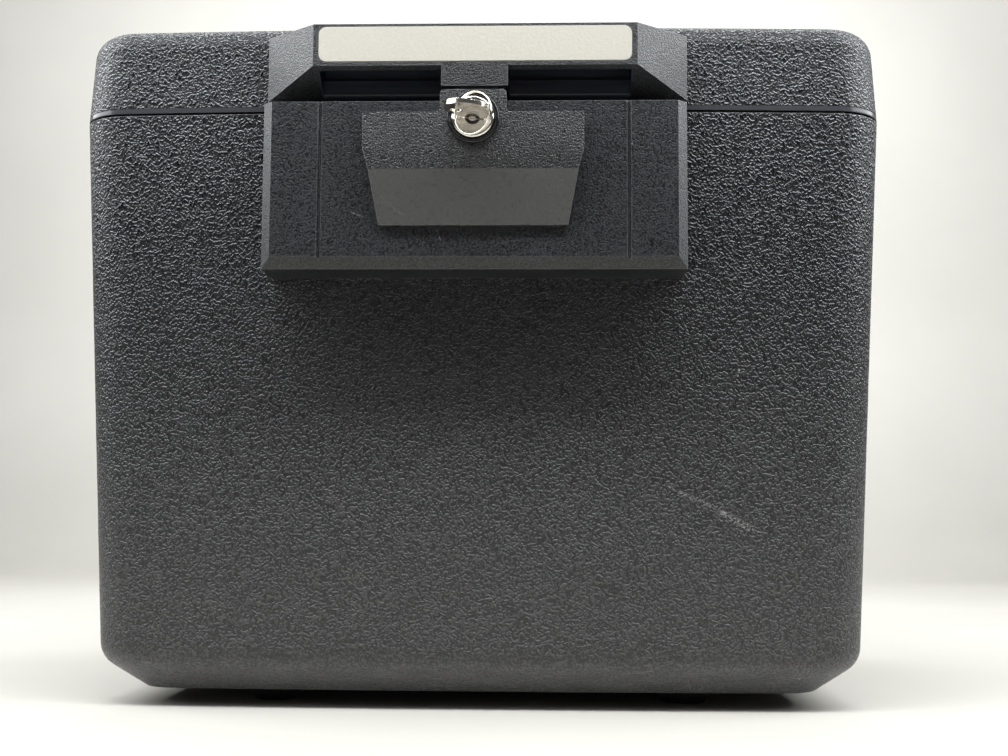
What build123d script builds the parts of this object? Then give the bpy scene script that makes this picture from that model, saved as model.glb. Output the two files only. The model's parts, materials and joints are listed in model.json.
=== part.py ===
from build123d import *
import math
import os

# Portable fire-resistant safe: an insulated box with a hinged lid, a pull latch and a key lock.
# X is to the right, Y to the back, Z up. Sizes are in millimetres, angles in degrees.
# While a piece is modelled, Y = 0 is the middle of the box; "proud" means forward of the front
# plane at the seam. The last step moves all pieces so that the origin is below their middle.

# Case
case_width = 389.0
case_depth = 307.0
seam_height = 282.0
seam_gap = 1.2
lid_height = 44.5
body_draft = 2.4
lid_draft = 3.0
corner_radius = 25.5
front_crown = 5.4
lid_edge_radius = 12.0
base_chamfer_out = 19.0
base_chamfer_up = 15.0
base_blend = 14.0
shell_wall = 3.0
insulation = 31.0
liner_wall = 2.5
liner_corner_radius = 12.0
lid_plug_drop = 10.0
lid_plug_clearance = 2.5
rim_width = 12.0
rim_thickness = 2.5
file_rail_height = 3.0
file_rail_width = 2.5
file_rail_inset = 12.0

# Feet
foot_height = 7.2
foot_top = 32.0
foot_bottom = 20.0
foot_spread = 101.0
foot_setback = 61.5

# Screws and their holes
screw_length = 14.0
screw_hole_spare = 2.0
screw_hole_clearance = 0.02
foot_screw_radius = 1.9
foot_screw_length = 12.0
screw_seat_gap = 0.3
screw_head = 2.0
screw_slot = 0.8

# Latch housing on the body; the latch as a whole is placed by the height of its lock
lock_below_seam = 13.0
moulding_root = 25.0
housing_half_width = 97.0
housing_above_lock = 10.3
housing_below_lock = 66.8
housing_rim_proud = 21.3
housing_proud = 25.0
housing_bevel = 4.2
housing_bevel_low = 5.3
housing_wall = 2.5
groove_place = 70.5
groove_width = 2.2
groove_depth = 1.1
window_half = 14.5
window_below_lock = 42.2
housing_screw_place = 60.0
tower_radius = 5.0
tower_cover = 6.5
keeper_width = 5.0
keeper_below_lock = 8.0
keeper_above_lock = 5.0

# Latch lever
lever_proud = 33.0
lever_gap = 0.6
lever_wall = 2.5
lever_lip = 0.5
lever_top_above_lock = 3.0
lever_top_half = 49.9
lever_knee_below_lock = 13.7
lever_facet_below_lock = 22.9
lever_facet_half = 47.4
lever_bottom_below_lock = 47.6
lever_bottom_half = 42.9
lever_bottom_proud = 27.4
neck_half = 15.0
neck_above_lock = 13.3
neck_round = 2.0
pivot_proud = 19.0
pivot_above_lever_bottom = 0.6
latch_pin_radius = 1.5
running_clearance = 0.05
ear_inner = 8.0
ear_thickness = 4.0
ear_radius = 3.0
ear_rise = 3.2
ear_height = 12.0
boss_gap = 0.5
boss_thickness = 3.0
tongue_half = 10.0
tongue_thickness = 3.0
hook_overlap = 2.4
hook_gap = 0.4
spring_wire = 0.9
spring_radius = 2.7
spring_turns = 6

# Lock
collar_outer = 23.5
collar_inner = 20.0
collar_height = 2.0
lock_head = 19.1
lock_head_proud = 36.0
barrel_radius = 8.0
barrel_end_proud = 20.0
plug_radius = 6.0
plug_clearance = 0.06
clip_thickness = 1.8
clip_groove = 0.8
clip_half = 11.0
cam_thickness = 2.5
cam_length = 20.0
cam_width = 10.0
cam_screw_radius = 3.2

# Key and ring; the key is tilted about the lock's axis, left end up
key_tilt = 6.5
key_thickness = 2.2
key_clearance = 0.12
blade_width = 7.0
blade_length = 15.0
blade_notches = (0.9, 1.8, 1.2, 2.1, 1.0)
shoulder_width = 10.0
bow_radius = 11.0
bow_side = 1.2
bow_reach = 22.5
bow_hole = 2.8
bow_hole_side = 6.6
bow_hole_ahead = 9.7
ring_mean = 9.4
ring_wire = 0.7
ring_yaw = 31.0
ring_half_chord = 9.0
ring_middle_side = 0.9
ring_middle_ahead = 14.0

# Handle housing on the lid
handle_front_half = 74.6
handle_front_above_seam = 14.6
handle_proud = 23.6
handle_top_above_seam = 34.3
handle_base_half = 99.0
handle_base_above_seam = 3.4
handle_base_proud = 4.0
handle_wall = 2.6
boss_half = 15.3
boss_above_seam = 4.9
recess_outer = 72.0
recess_back_proud = 3.5
ledge_proud = 8.0
ledge_round = 3.0
ledge_above_seam = 12.3
recess_roof_above_seam = 29.5
recess_round = 2.3
recess_side_gap = 0.2
label_half = 72.0
label_margin_low = 2.0
label_margin_high = 1.4
label_gap = 0.2
label_round = 3.5
label_thickness = 0.6
label_stands_out = 0.1
handle_screw_place = 64.0
handle_screw_depth = 2.6
handle_screw_head_gap = 0.3

# Strike behind the handle boss
strike_half = 10.0
strike_proud = 8.0
strike_thickness = 2.0
strike_barb = 3.0
strike_bottom_above_lock = 1.0
strike_shelf_above_seam = 11.0
strike_screw_above_shelf = 7.0
strike_flange_height = 14.0
strike_seat_gap = 0.1

# Hinges
hinge_spread = 105.0
hinge_length = 54.0
hinge_leaf = 2.0
hinge_reach = 34.0
hinge_pad_proud = 2.0
hinge_pad_margin = 4.0
hinge_pad_side = 2.5
hinge_radius = 4.0
hinge_pin_radius = 1.75
hinge_knuckles = 5
hinge_knuckle_gap = 0.4
hinge_side_gap = 0.6
hinge_screw_radius = 1.9

half_width = case_width / 2
half_depth = case_depth / 2
front = -half_depth
body_top = seam_height - seam_gap / 2
lid_bottom = seam_height + seam_gap / 2
lid_top = seam_height + lid_height
total_wall = shell_wall + insulation + liner_wall
axis_y = half_depth + hinge_pad_proud + hinge_radius

lock_height = seam_height - lock_below_seam
lock_front = lock_head_proud
housing_top = lock_height + housing_above_lock
housing_bottom = lock_height - housing_below_lock
window_bottom = lock_height - window_below_lock
lever_top = lock_height + lever_top_above_lock
lever_knee = lock_height - lever_knee_below_lock
lever_facet = lock_height - lever_facet_below_lock
lever_bottom = lock_height - lever_bottom_below_lock
neck_top = lock_height + neck_above_lock
pivot_height = lever_bottom + pivot_above_lever_bottom

handle_front_bottom = seam_height + handle_front_above_seam
handle_top = seam_height + handle_top_above_seam
handle_base_bottom = seam_height + handle_base_above_seam
boss_bottom = seam_height + boss_above_seam
ledge_height = seam_height + ledge_above_seam
recess_roof = seam_height + recess_roof_above_seam
label_bottom = handle_front_bottom + label_margin_low
label_top = handle_top - label_margin_high
handle_screw_height = (label_bottom + label_top) / 2
strike_bottom = lock_height + strike_bottom_above_lock
strike_shelf = seam_height + strike_shelf_above_seam
strike_screw_height = strike_shelf + strike_screw_above_shelf


def tan_of(angle):
    return math.tan(math.radians(angle))


def proud(distance):
    """Y of a point that stands so far forward of the front plane."""
    return front - distance


def draft_at(height):
    """How far the case's skin lies inside its size at the seam."""
    if height <= seam_height:
        return (seam_height - height) * tan_of(body_draft)
    return (height - seam_height) * tan_of(lid_draft)


def plan(height, inset=0.0, corner=corner_radius):
    """Closed outline of the case at a height: crowned front, straight sides and back, round corners."""
    shrink = draft_at(height) + inset
    a = half_width - shrink
    b = half_depth - shrink
    r = corner
    crown_radius = (half_width**2 + front_crown**2) / (2 * front_crown)
    crown_y = -b + crown_radius
    corner_x = a - r
    corner_y = crown_y - math.sqrt((crown_radius - r) ** 2 - corner_x**2)
    scale = crown_radius / (crown_radius - r)
    touch_x = corner_x * scale
    touch_y = crown_y + (corner_y - crown_y) * scale
    half_turn = math.atan2(corner_y - touch_y, touch_x - corner_x) / 2
    mid_x = corner_x + r * math.cos(half_turn)
    mid_y = corner_y - r * math.sin(half_turn)
    s = math.sqrt(0.5)
    z = height
    edges = [
        Edge.make_three_point_arc((-touch_x, touch_y, z), (0, -b, z), (touch_x, touch_y, z)),
        Edge.make_three_point_arc((touch_x, touch_y, z), (mid_x, mid_y, z), (a, corner_y, z)),
        Edge.make_line((a, corner_y, z), (a, b - r, z)),
        Edge.make_three_point_arc((a, b - r, z), (a - r + r * s, b - r + r * s, z), (a - r, b, z)),
        Edge.make_line((a - r, b, z), (r - a, b, z)),
        Edge.make_three_point_arc((r - a, b, z), (r - a - r * s, b - r + r * s, z), (-a, b - r, z)),
        Edge.make_line((-a, b - r, z), (-a, corner_y, z)),
        Edge.make_three_point_arc((-a, corner_y, z), (-mid_x, mid_y, z), (-touch_x, touch_y, z)),
    ]
    return Face(Wire(edges))


def tapered(low, high, inset=0.0, corner=corner_radius):
    """Solid between two heights that follows the draft of the case."""
    return Solid.make_loft(
        [plan(low, inset, corner).outer_wire(), plan(high, inset, corner).outer_wire()], True
    )


def block(x0, x1, y0, y1, z0, z1):
    """Box between two corners."""
    size = (abs(x1 - x0), abs(y1 - y0), abs(z1 - z0))
    return Pos((x0 + x1) / 2, (y0 + y1) / 2, (z0 + z1) / 2) * Box(*size)


def slab(z0, z1):
    """Level slice wider and deeper than the case."""
    return block(-case_width, case_width, -case_depth, case_depth, z0, z1)


def rod(radius, y_from, y_to, x=0.0, z=0.0, turn=0.0):
    """Cylinder along Y, with its seam line turned about its axis."""
    middle = (y_from + y_to) / 2
    return Pos(x, middle, z) * Rot(90, 0, 0) * Rot(0, 0, turn) * Cylinder(radius, abs(y_to - y_from))


def axle(radius, x0, x1, y, z):
    """Cylinder along X."""
    return Pos((x0 + x1) / 2, y, z) * Rot(0, 90, 0) * Cylinder(radius, abs(x1 - x0))


def post(radius, z0, z1, x, y):
    """Cylinder along Z."""
    return Pos(x, y, (z0 + z1) / 2) * Cylinder(radius, abs(z1 - z0))


def side_profile(points, x0, x1):
    """Prism along X whose section is given as (proud, height) points."""
    outline = [(x0, proud(p), z) for p, z in points]
    face = Face(Wire.make_polygon(outline, close=True))
    return Solid.extrude(face, Vector(x1 - x0, 0, 0))


def screw_into(direction, x, y, z, radius, length):
    """Pan-head screw whose head starts at y; direction is +1 when its shank runs to +Y."""
    head = rod(radius * 1.9, y, y - direction * radius * 1.1, x, z)
    shank = rod(radius, y, y + direction * length, x, z)
    slot = screw_slot / 2
    cross = block(x - radius * 1.2, x + radius * 1.2, y - direction * radius * 0.6,
                  y - direction * radius * 1.2, z - slot, z + slot)
    cross += block(x - slot, x + slot, y - direction * radius * 0.6,
                   y - direction * radius * 1.2, z - radius * 1.2, z + radius * 1.2)
    return head + shank - cross


def front_skin(x, z):
    """Y of the case's front surface at a place."""
    crown_radius = (half_width**2 + front_crown**2) / (2 * front_crown)
    return front + draft_at(z) + crown_radius - math.sqrt(crown_radius**2 - x**2)


def front_hole(radius, x, z, depth):
    """Screw hole that runs so far into the case from its front surface."""
    skin = front_skin(x, z)
    return rod(radius + screw_hole_clearance, skin - radius * 2, skin + depth, x, z)


def rear_hole(radius, x, z, depth):
    """Screw hole that runs so far into the case from its back; its seam line lies off the level plane."""
    outside = half_depth + hinge_pad_proud * 2
    return rod(radius + screw_hole_clearance, half_depth - depth, outside, x, z, turn=200.0)


# Insulated case


def hinge_pads(low, high):
    """Flat pads on the back that the hinge leaves lie on."""
    pads = []
    half = hinge_length / 2 + hinge_pad_side
    for side in (-1, 1):
        middle = side * hinge_spread
        pads.append(block(middle - half, middle + half, half_depth - shell_wall * 1.5,
                          half_depth + hinge_pad_proud, low, high))
    return pads


def body_outer():
    """Outside of the body with its chamfered and rounded underside."""
    z0 = foot_height
    z1 = foot_height + base_chamfer_up
    upper = plan(z1).outer_wire()
    lower = plan(z1, base_chamfer_out, corner_radius - base_chamfer_out / 3)
    lower = lower.moved(Pos(0, 0, z0 - z1)).outer_wire()
    shape = Part() + Solid.make_loft([lower, upper], True) + Solid.make_loft(
        [upper, plan(body_top).outer_wire()], True
    )
    knee = [e for e in shape.edges()
            if abs(e.bounding_box().min.Z - z1) < 0.01 and abs(e.bounding_box().max.Z - z1) < 0.01]
    return fillet(knee, base_blend)


def body_inner():
    """Hollow of the body's outer skin."""
    z0 = foot_height + shell_wall
    z1 = foot_height + base_chamfer_up + shell_wall
    upper = plan(z1, shell_wall, corner_radius - shell_wall).outer_wire()
    lower = plan(z1, shell_wall + base_chamfer_out, corner_radius - shell_wall - base_chamfer_out / 3)
    lower = lower.moved(Pos(0, 0, z0 - z1)).outer_wire()
    top = plan(body_top, shell_wall, corner_radius - shell_wall).outer_wire()
    return Part() + Solid.make_loft([lower, upper], True) + Solid.make_loft([upper, top], True)


tub_inset = shell_wall + insulation
tub_floor = foot_height + total_wall
rim_inset = tub_inset - rim_width


def make_body_shell():
    shell = body_outer() - body_inner()
    for pad in hinge_pads(body_top - hinge_reach - hinge_pad_margin, body_top):
        shell += pad - body_inner()
    for x, y in foot_places():
        shell -= post(foot_screw_radius, foot_height - 1, foot_height + shell_wall + 1, x, y)
    for x in housing_screws_x():
        shell -= front_hole(foot_screw_radius, x, housing_middle(), shell_wall + 1)
    for x, z in hinge_screw_places(-1):
        shell -= rear_hole(hinge_screw_radius, x, z, shell_wall * 3)
    return shell


def make_body_insulation():
    filling = body_inner() - tub_outer()
    for x, y in foot_places():
        filling -= post(foot_screw_radius + screw_hole_clearance, foot_height,
                        foot_height + shell_wall + foot_screw_length + screw_hole_spare, x, y)
    head_room = shell_wall + screw_seat_gap + screw_head
    for x in housing_screws_x():
        filling -= front_hole(foot_screw_radius * 2, x, housing_middle(), head_room)
    for x, z in hinge_screw_places(-1):
        filling -= rear_hole(hinge_screw_radius, x, z, screw_length + screw_hole_spare)
    return filling


def tub_outer():
    """Outside of the inner tub and of the rim that covers the filling at the top."""
    outer = tapered(tub_floor - liner_wall, body_top, tub_inset, liner_corner_radius)
    return outer + tapered(body_top - rim_thickness, seam_height, rim_inset, corner_radius - rim_inset)


def make_body_liner():
    """Inner tub with a rim that closes the wall at the top, and rails for hanging files."""
    hollow = tapered(tub_floor, seam_height, total_wall, liner_corner_radius - liner_wall)
    tub = tub_outer() - hollow
    inner_half = half_width - total_wall
    rail_top = body_top - lid_plug_drop - file_rail_inset / 2
    for side in (-1, 1):
        wall_x = side * (inner_half - draft_at(rail_top - file_rail_height - file_rail_inset) + 0.8)
        tip_x = side * (inner_half - draft_at(rail_top) - file_rail_inset / 2)
        length = half_depth - total_wall - 20
        shelf = block(wall_x, tip_x, -length, length, rail_top - file_rail_height - 2,
                      rail_top - file_rail_height)
        lip = block(tip_x, tip_x + side * file_rail_width, -length, length,
                    rail_top - file_rail_height - 2, rail_top)
        tub += shelf + lip
    return tub


def lid_outer():
    shape = tapered(lid_bottom, lid_top)
    top_edges = shape.edges().filter_by(lambda e: e.bounding_box().min.Z > lid_top - 0.01)
    return fillet(top_edges, lid_edge_radius)


def make_lid_shell():
    shell = lid_outer() - lid_cavity()
    for pad in hinge_pads(lid_bottom, lid_bottom + hinge_reach - hinge_pad_margin):
        shell += pad - lid_cavity()
    for x in (-handle_screw_place, handle_screw_place):
        shell -= front_hole(hinge_screw_radius, x, handle_screw_height, shell_wall + 1)
    for x in strike_screws_x():
        shell -= front_hole(hinge_screw_radius, x, strike_screw_height, shell_wall + 1)
    for x, z in hinge_screw_places(1):
        shell -= rear_hole(hinge_screw_radius, x, z, shell_wall * 3)
    return shell


def lid_cavity():
    """Space inside the lid's skin, down to its lower edge."""
    inner_top = lid_top - shell_wall
    cavity = tapered(lid_bottom - 1, inner_top, shell_wall, corner_radius - shell_wall)
    top_edges = cavity.edges().filter_by(lambda e: e.bounding_box().min.Z > inner_top - 0.01)
    return fillet(top_edges, lid_edge_radius - shell_wall)


def lid_closure():
    """Outside of the lid's lower cover: a flat plate with the plug that drops into the tub."""
    plate = lid_cavity() & slab(seam_height, lid_bottom + liner_wall)
    plug = tapered(seam_height - lid_plug_drop, seam_height, total_wall + lid_plug_clearance,
                   liner_corner_radius - liner_wall)
    return plate + plug


def lid_plug_filling():
    return tapered(seam_height - lid_plug_drop + liner_wall, lid_bottom + liner_wall,
                   total_wall + lid_plug_clearance + liner_wall, liner_corner_radius / 2)


def make_lid_liner():
    """Thin cover that closes the lid from below, hollow where the filling enters its plug."""
    return lid_closure() - lid_plug_filling()


def make_lid_insulation():
    filling = lid_cavity() - slab(seam_height - 5, lid_bottom + liner_wall)
    filling += lid_plug_filling()
    for x in (-handle_screw_place, handle_screw_place):
        filling -= front_hole(hinge_screw_radius, x, handle_screw_height, screw_length + screw_hole_spare)
    for x in strike_screws_x():
        filling -= front_hole(hinge_screw_radius, x, strike_screw_height, screw_length + screw_hole_spare)
    for x, z in hinge_screw_places(1):
        filling -= rear_hole(hinge_screw_radius, x, z, screw_length + screw_hole_spare)
    return filling


# Feet


def foot_places():
    y = half_depth - foot_setback - draft_at(foot_height) + foot_top / 2
    return [(x, s * y) for s in (-1, 1) for x in (-foot_spread, foot_spread)]


def make_foot(x, y):
    foot = Pos(x, y, foot_height / 2) * Cone(foot_bottom / 2, foot_top / 2, foot_height)
    counterbore = post(foot_screw_radius * 2 + 0.6, 0, foot_height / 2, x, y)
    return foot - counterbore - post(foot_screw_radius, 0, foot_height, x, y)


def make_foot_screws():
    screws = []
    for x, y in foot_places():
        seat = foot_height / 2
        shank = post(foot_screw_radius, seat, foot_height + shell_wall + foot_screw_length, x, y)
        head = post(foot_screw_radius * 2, seat - screw_head, seat, x, y)
        slot = block(x - foot_screw_radius * 1.4, x + foot_screw_radius * 1.4, y - screw_slot / 2,
                     y + screw_slot / 2, seat - screw_head, seat - screw_head / 2)
        screws.append(shank + head - slot)
    return Compound(screws)


# Latch housing


def housing_middle():
    return (housing_bottom + window_bottom) / 2


def housing_screws_x():
    return (-housing_screw_place, housing_screw_place)


def make_latch_housing():
    """Hollow moulding on the front of the body, with a bevelled picture frame and an upright window."""
    low, top = housing_bottom, housing_top
    outer_half, panel_half = housing_half_width, housing_half_width - housing_bevel
    back = proud(-moulding_root)
    box = block(-outer_half, outer_half, back, proud(housing_rim_proud), low, top)
    base = Wire.make_polygon([(-outer_half, proud(housing_rim_proud), low),
                              (outer_half, proud(housing_rim_proud), low),
                              (outer_half, proud(housing_rim_proud), top),
                              (-outer_half, proud(housing_rim_proud), top)], close=True)
    face = Wire.make_polygon([(-panel_half, proud(housing_proud), low + housing_bevel_low),
                              (panel_half, proud(housing_proud), low + housing_bevel_low),
                              (panel_half, proud(housing_proud), top),
                              (-panel_half, proud(housing_proud), top)], close=True)
    solid = box + Solid.make_loft([base, face], True)
    w = housing_wall
    solid -= block(-outer_half + w, outer_half - w, back - 1, proud(housing_proud - w), low + w, top - w)
    for side in (-1, 1):
        x = side * groove_place
        cutter = [(x - groove_width / 2, proud(housing_proud + 0.2), low + housing_bevel_low / 2),
                  (x + groove_width / 2, proud(housing_proud + 0.2), low + housing_bevel_low / 2),
                  (x, proud(housing_proud - groove_depth), low + housing_bevel_low / 2)]
        wedge = Face(Wire.make_polygon(cutter, close=True))
        solid -= Solid.extrude(wedge, Vector(0, 0, top))
    solid -= block(-window_half, window_half, proud(housing_proud - w - 1), proud(housing_proud + 1),
                   window_bottom, top + 1)
    slot_back = proud(strike_proud - 1.2)
    solid -= block(-window_half, window_half, slot_back, proud(housing_proud + 1), top - w - 1, top + 1)
    panel_back = proud(housing_proud - w)
    keeper_back = proud(housing_proud - w - cam_thickness)
    solid += block(-window_half - keeper_width, -window_half, panel_back, keeper_back,
                   lock_height - keeper_below_lock, lock_height + keeper_above_lock)
    for side in (-1, 1):
        inner = side * (ear_inner + ear_thickness + boss_gap)
        outer = inner + side * boss_thickness
        solid += side_profile([(housing_proud - w, pivot_height - 6), (housing_proud - w, window_bottom),
                               (pivot_proud, pivot_height + 4), (pivot_proud - 4, pivot_height),
                               (pivot_proud, pivot_height - 4)], inner, outer)
    for x in housing_screws_x():
        solid += rod(tower_radius, back, proud(housing_proud - w), x, housing_middle())
        solid -= rod(foot_screw_radius + screw_hole_clearance, back, proud(housing_proud - tower_cover),
                     x, housing_middle())
    solid -= axle(latch_pin_radius, -pin_half() - 1, pin_half() + 1, proud(pivot_proud), pivot_height)
    return solid - tapered(low - moulding_root, body_top)


def make_housing_screws():
    """Screws from inside the wall into the housing's towers."""
    screws = []
    for x in housing_screws_x():
        seat = front_skin(x, housing_middle()) + shell_wall + screw_seat_gap
        end = proud(housing_proud - tower_cover - screw_hole_spare)
        shank = rod(foot_screw_radius, seat, end, x, housing_middle())
        head = rod(foot_screw_radius * 2, seat, seat + screw_head - screw_seat_gap, x, housing_middle())
        screws.append(shank + head)
    return Compound(screws)


# Latch lever


def make_latch_lever():
    """Pull lever: a hollow trapezoid with a neck round the lock, two ears on the pin and a hook tongue."""
    back = housing_proud + lever_gap
    outline = [(-lever_top_half, lever_top), (-lever_top_half, lever_knee),
               (-lever_facet_half, lever_facet), (-lever_bottom_half, lever_bottom),
               (lever_bottom_half, lever_bottom), (lever_facet_half, lever_facet),
               (lever_top_half, lever_knee), (lever_top_half, lever_top)]
    neck = [(neck_half, lever_top), (neck_half, neck_top), (-neck_half, neck_top), (-neck_half, lever_top)]
    sketch = Polyline([Vector(x, z) for x, z in outline + neck], close=True)
    face = make_face(sketch)
    corners = [v for v in face.vertices() if abs(abs(v.X) - neck_half) < 0.01]
    face = fillet(corners, neck_round)
    face = Plane.XZ * face
    lever = extrude(Pos(0, proud(back), 0) * face, lever_proud - back, dir=(0, -1, 0))
    facet = side_profile([(lever_proud + 1, lever_facet), (lever_proud, lever_facet),
                          (lever_bottom_proud, lever_bottom), (lever_bottom_proud, lever_bottom - 1),
                          (lever_proud + 1, lever_bottom - 1)], -case_width / 4, case_width / 4)
    lever -= facet
    wall = lever_wall
    pocket_front = lever_proud - wall
    low = lever_facet - (pocket_front - back - lever_lip) / facet_slope()
    pocket = side_profile([(back - 1, low), (back, low), (pocket_front, lever_facet + 1),
                           (pocket_front, lever_top - wall), (back - 1, lever_top - wall)],
                          -lever_bottom_half + wall + 1, lever_bottom_half - wall - 1)
    pocket += block(-neck_half + wall, neck_half - wall, proud(back - 1), proud(pocket_front),
                    lever_top - wall - 1, neck_top - wall)
    lever -= pocket
    lever -= rod(barrel_radius, proud(back - 1), proud(lever_proud + 1), 0, lock_height)
    lever += hook_tongue()
    for side in (-1, 1):
        lever += lever_ear(side)
    return lever


def facet_slope():
    return (lever_proud - lever_bottom_proud) / (lever_facet - lever_bottom)


def inside_facet(height):
    """How proud the middle of the lever's wall is behind its slanted facet."""
    return lever_proud - (lever_facet - height) * facet_slope() - lever_wall / 2


def hook_tongue():
    """Tongue that passes back over the lock and lies above the strike's barb."""
    low = strike_barb_top() + hook_gap
    tip = strike_proud + strike_thickness + strike_barb - hook_overlap
    return block(-tongue_half, tongue_half, proud(lever_proud - lever_wall), proud(tip), low,
                 low + tongue_thickness)


def strike_barb_top():
    return lock_height + barrel_radius + strike_seat_gap


def lever_ear(side):
    """Ear that goes through the window and down to the pivot pin behind the panel."""
    inner = side * ear_inner
    outer = side * (ear_inner + ear_thickness)
    p, z, r = pivot_proud, pivot_height, ear_radius
    low = window_bottom + ear_rise
    high = low + ear_height
    arm = side_profile([(p - r, z), (p + r * 0.8, z), (p + r * 0.8, low - 1),
                        (inside_facet(low + 1), low + 1), (inside_facet(high), high),
                        (p - r / 3, high - ear_height / 2)], inner, outer)
    ear = Part() + arm + axle(r, inner, outer, proud(p), z)
    return ear - axle(latch_pin_radius + running_clearance, -window_half, window_half, proud(p), z)


def pin_half():
    return ear_inner + ear_thickness + boss_gap + boss_thickness


def make_latch_pin():
    return axle(latch_pin_radius, -pin_half(), pin_half(), proud(pivot_proud), pivot_height)


def make_latch_spring():
    """Torsion spring round the pin, one leg on the panel and one on the lever."""
    length = 2 * ear_inner - 3
    pitch = (length - spring_wire) / spring_turns
    helix = Edge.make_helix(pitch, pitch * spring_turns, spring_radius)
    start = helix @ 0
    section = Plane(start, z_dir=helix % 0) * Circle(spring_wire / 2)
    coil = sweep(section, path=helix)
    coil = Pos(-(length - spring_wire) / 2, proud(pivot_proud), pivot_height) * Rot(0, 90, 0) * coil
    return coil


# Lock


def make_lock_collar():
    ring = rod(collar_outer / 2, proud(lever_proud), proud(lever_proud + collar_height), 0, lock_height)
    ring -= rod(collar_inner / 2, proud(lever_proud), proud(lever_proud + collar_height), 0, lock_height)
    outer_edges = ring.edges().filter_by(GeomType.CIRCLE).sort_by(Axis.Y)[:2]
    return fillet(outer_edges, collar_height / 3)


def make_lock_barrel():
    """Cylinder lock body: polished head, threaded body with a groove for its clip."""
    head = rod(lock_head / 2, proud(lever_proud), proud(lock_front), 0, lock_height)
    rim = head.edges().filter_by(GeomType.CIRCLE).sort_by(Axis.Y)[0]
    head = fillet(rim, 1.0)
    recess = rod(plug_radius + 1.6, proud(lock_front - 0.7), proud(lock_front + 1), 0, lock_height)
    barrel = head - recess + rod(barrel_radius, proud(lever_proud), proud(barrel_end_proud), 0, lock_height)
    barrel -= clip_groove_ring()
    return barrel - rod(plug_radius + plug_clearance, proud(barrel_end_proud - 1), proud(lock_front + 1),
                        0, lock_height)


def clip_span():
    start = lever_proud - lever_wall
    return proud(start - clip_thickness), proud(start)


def clip_groove_ring():
    y0, y1 = clip_span()
    ring = rod(barrel_radius + 1, y0, y1, 0, lock_height)
    return ring - rod(barrel_radius - clip_groove, y0, y1, 0, lock_height)


def make_lock_clip():
    """Horseshoe clip pushed up into the barrel's groove behind the lever."""
    y0, y1 = clip_span()
    inner = barrel_radius - clip_groove
    plate = block(-clip_half, clip_half, y0, y1, lock_height - clip_half, lock_height + barrel_radius / 2)
    plate -= rod(inner, y0 + 1, y1 - 1, 0, lock_height)
    return plate - block(-inner, inner, y0 + 1, y1 - 1, lock_height, lock_height + clip_half)


def about_lock(shape):
    """Turns a piece from upright to the angle of the key in the lock."""
    centre = Pos(0, 0, lock_height)
    return centre * Rot(0, key_tilt, 0) * centre.inverse() * shape


def make_lock_plug():
    plug = rod(plug_radius, proud(barrel_end_proud - 0.5), proud(lock_front - 0.3), 0, lock_height)
    plug += rod(plug_radius + 1.4, proud(lock_front - 0.7), proud(lock_front - 0.1), 0, lock_height)
    slot_half = blade_width / 2 + key_clearance
    slot = block(-slot_half, slot_half, proud(lock_front - blade_length - 1), proud(lock_front + 1),
                 lock_height - key_thickness / 2 - key_clearance,
                 lock_height + key_thickness / 2 + key_clearance)
    return about_lock(plug - slot)


def make_lock_cam():
    """Flat cam on the plug's rear end; it hangs down when the lock is open."""
    y0 = proud(barrel_end_proud - 0.5)
    y1 = proud(barrel_end_proud - 0.5 - cam_thickness)
    r = cam_width / 2
    arm = block(-r, r, y0, y1, lock_height - cam_length + r, lock_height)
    arm += rod(r, y0, y1, 0, lock_height - cam_length + r) + rod(plug_radius, y0, y1, 0, lock_height)
    return about_lock(arm - rod(cam_screw_radius / 2, y0 - 1, y1 + 1, 0, lock_height))


def make_cam_screw():
    y0 = proud(barrel_end_proud - 0.5)
    y1 = proud(barrel_end_proud - 0.5 - cam_thickness)
    shank = rod(cam_screw_radius / 2, y0, y1, 0, lock_height)
    return shank + rod(cam_screw_radius, y1, y1 + 1.8, 0, lock_height)


# Key and ring


def make_key():
    """Flat key in the plug: notched blade, shoulder and round bow with a hole for the ring."""
    t = key_thickness / 2
    z0, z1 = lock_height - t, lock_height + t
    tip = proud(lock_front - blade_length)
    bow_middle = proud(lock_front + bow_reach - bow_radius)
    key = block(-blade_width / 2, blade_width / 2, tip, bow_middle, z0, z1)
    key += block(-shoulder_width / 2, shoulder_width / 2, proud(lock_front + 1.5), bow_middle, z0, z1)
    key += post(bow_radius, z0, z1, -bow_side, bow_middle)
    pitch = blade_length / (len(blade_notches) + 1)
    for i, depth in enumerate(blade_notches):
        centre = Pos(blade_width / 2, tip - (i + 0.6) * pitch, lock_height)
        key -= centre * Rot(0, 0, 45) * Box(depth, depth, key_thickness * 2)
    key -= post(bow_hole, z0 - 1, z1 + 1, -bow_hole_side, proud(lock_front + bow_hole_ahead))
    return about_lock(key)


def make_key_ring():
    """Ring through the bow's hole and round its right edge, hanging in front of the lock."""
    drop = math.sqrt(ring_mean**2 - ring_half_chord**2)
    height = lock_height - ring_middle_side * tan_of(key_tilt) - drop
    ring = Torus(ring_mean, ring_wire)
    centre = Pos(ring_middle_side, proud(lock_front + ring_middle_ahead), height)
    return centre * Rot(0, 0, -ring_yaw) * Rot(90, 0, 0) * ring


# Handle housing


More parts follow.
